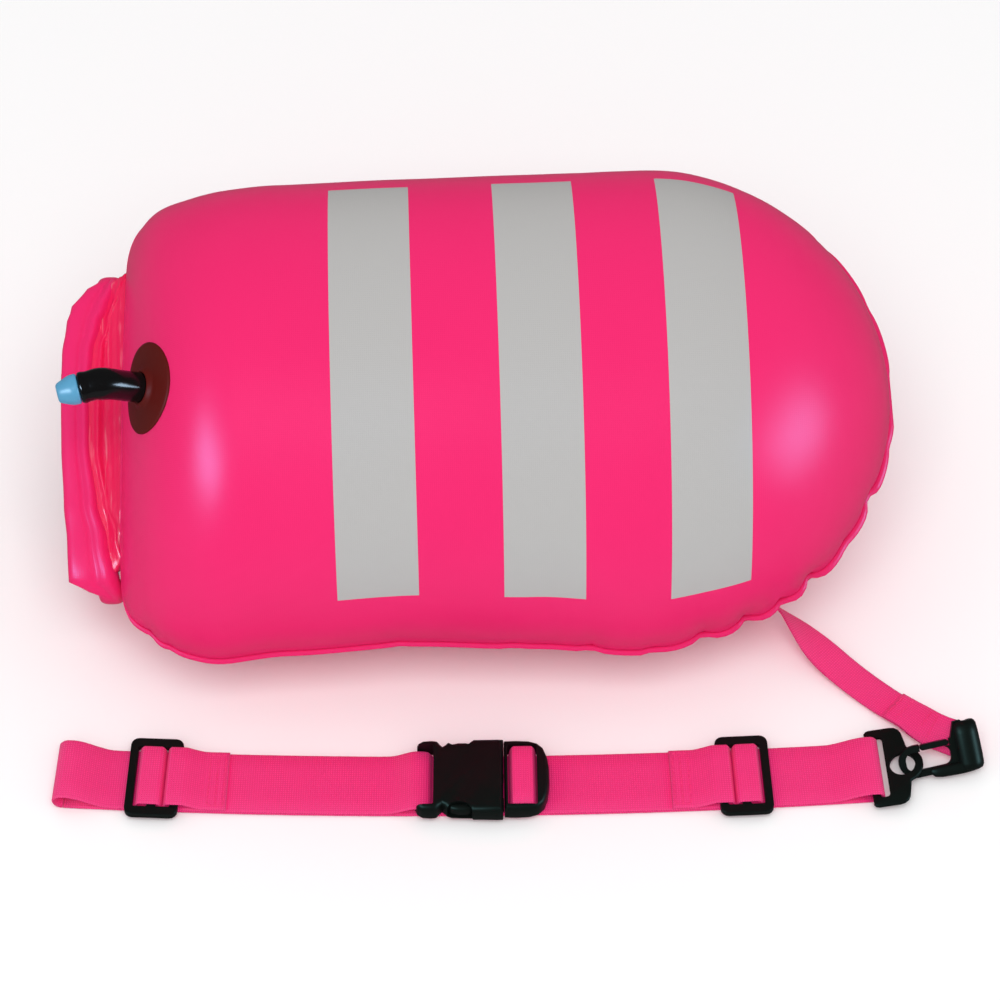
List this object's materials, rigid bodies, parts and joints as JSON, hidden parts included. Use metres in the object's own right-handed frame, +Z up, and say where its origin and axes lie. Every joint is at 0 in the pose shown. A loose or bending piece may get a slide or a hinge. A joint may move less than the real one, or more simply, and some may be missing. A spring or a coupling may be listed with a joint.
{
  "type": "open water swim buoy",
  "caption": "Inflated roll-top swim buoy in pink coated fabric, lying on its back, with a leash, snap hook and adjustable waist belt.",
  "frame": {"origin": "on the flat patch where the buoy's back rests on the floor, below its long axis", "axes": "+X along the buoy from its rolled closure to its tail, +Z up, the belt lies on the -Y side"},
  "size_m": [0.5152, 0.3331, 0.2246],
  "materials": {
    "body_fabric": "satin coated",
    "neck_fabric": "shiny film",
    "pouch_fabric": "coated",
    "webbing": "woven",
    "hardware": "moulded",
    "valve_patch": "satin",
    "valve_tube": "glossy",
    "mouthpiece": "satin",
    "spring_steel": "drawn wire"
  },
  "bodies": {
    "buoy": {"front_panel": "body_fabric", "back_panel": "body_fabric", "dry_pouch": "pouch_fabric", "neck_film": "neck_fabric", "closure_roll": "body_fabric", "closure_stiffener": "hardware", "closure_tab_far": "webbing", "closure_tab_near": "webbing", "closure_clip_socket": "hardware", "valve_patch": "valve_patch", "valve_tube": "valve_tube", "valve_seal": "hardware", "valve_spring": "spring_steel", "valve_spring_seat": "mouthpiece", "tail_patch": "body_fabric", "leash_strap": "webbing", "leash_loop": "webbing"},
    "closure_plug": {"closure_clip_plug": "hardware"},
    "mouthpiece": {"valve_mouthpiece": "mouthpiece"},
    "stem": {"valve_stem": "mouthpiece"},
    "hook": {"hook_body": "hardware"},
    "gate": {"hook_gate": "hardware"},
    "ring": {"belt_ring": "hardware"},
    "belt": {"belt_lower": "webbing", "belt_fold": "webbing", "belt_upper_left": "webbing", "belt_upper_right": "webbing", "belt_wrap": "webbing", "buckle_socket": "hardware"},
    "left_slider": {"slider_left": "hardware", "slider_left_bulge": "webbing", "sewn_end_left": "webbing"},
    "right_slider": {"slider_right": "hardware", "slider_right_bulge": "webbing", "sewn_end_right": "webbing"},
    "prongs": {"buckle_prongs": "hardware", "buckle_guide": "hardware", "buckle_bulge": "webbing"},
    "arm_far": {"buckle_arm_far": "hardware"},
    "arm_near": {"buckle_arm_near": "hardware"}
  },
  "joints": [
    {"name": "closure_release", "type": "slide", "parent": "buoy", "child": "closure_plug", "axis": [-0.0316, 0.9058, 0.4226], "range_m": [0, 0.0122]},
    {"name": "mouthpiece_twist", "type": "hinge", "parent": "buoy", "child": "mouthpiece", "pos_m": [-0.22854, -0.04703, 0.18911], "axis": [-0.9703, -0.2201, -0.1], "range_deg": [0, 90]},
    {"name": "stem_press", "type": "slide", "parent": "buoy", "child": "stem", "axis": [0.9703, 0.2201, 0.1], "range_m": [0, 0.003], "stiffness_N_per_m": 120, "deforming": ["valve_spring"]},
    {"name": "hook_lift", "type": "hinge", "parent": "buoy", "child": "hook", "pos_m": [0.25982, -0.15764, 0.01427], "axis": [-0.2121, 0.7391, 0.6393], "range_deg": [0, 60]},
    {"name": "gate_open", "type": "hinge", "parent": "hook", "child": "gate", "pos_m": [0.24692, -0.15777, 0.0149], "axis": [0.044, -0.6463, 0.7618], "range_deg": [0, 22], "stiffness_Nm_per_rad": 0.05, "springref_deg": -11.46},
    {"name": "ring_swivel", "type": "hinge", "parent": "hook", "child": "ring", "pos_m": [0.22323, -0.16787, 0.0077], "axis": [-0.1646, -0.012, 0.9863], "range_deg": [0, 40]},
    {"name": "belt_lift", "type": "hinge", "parent": "ring", "child": "belt", "pos_m": [0.2069, -0.16907, 0.0046], "axis": [-0.0729, 0.9973, 0], "range_deg": [0, 80]},
    {"name": "left_slider_slide", "type": "slide", "parent": "belt", "child": "left_slider", "axis": [0.9991, -0.0422, 0], "range_m": [-0.008, 0.07]},
    {"name": "right_slider_slide", "type": "slide", "parent": "belt", "child": "right_slider", "axis": [0.9986, 0.0523, 0], "range_m": [-0.035, 0.028]},
    {"name": "buckle_release", "type": "slide", "parent": "belt", "child": "prongs", "axis": [0.9999, 0.0138, 0], "range_m": [0, 0.032]},
    {"name": "arm_far_press", "type": "hinge", "parent": "prongs", "child": "arm_far", "pos_m": [0.00176, -0.16062, 0.009], "axis": [0, 0, 1], "range_deg": [0, 6], "stiffness_Nm_per_rad": 0.3},
    {"name": "arm_near_press", "type": "hinge", "parent": "prongs", "child": "arm_near", "pos_m": [0.00224, -0.19532, 0.009], "axis": [0, 0, -1], "range_deg": [0, 6], "stiffness_Nm_per_rad": 0.3}
  ]
}
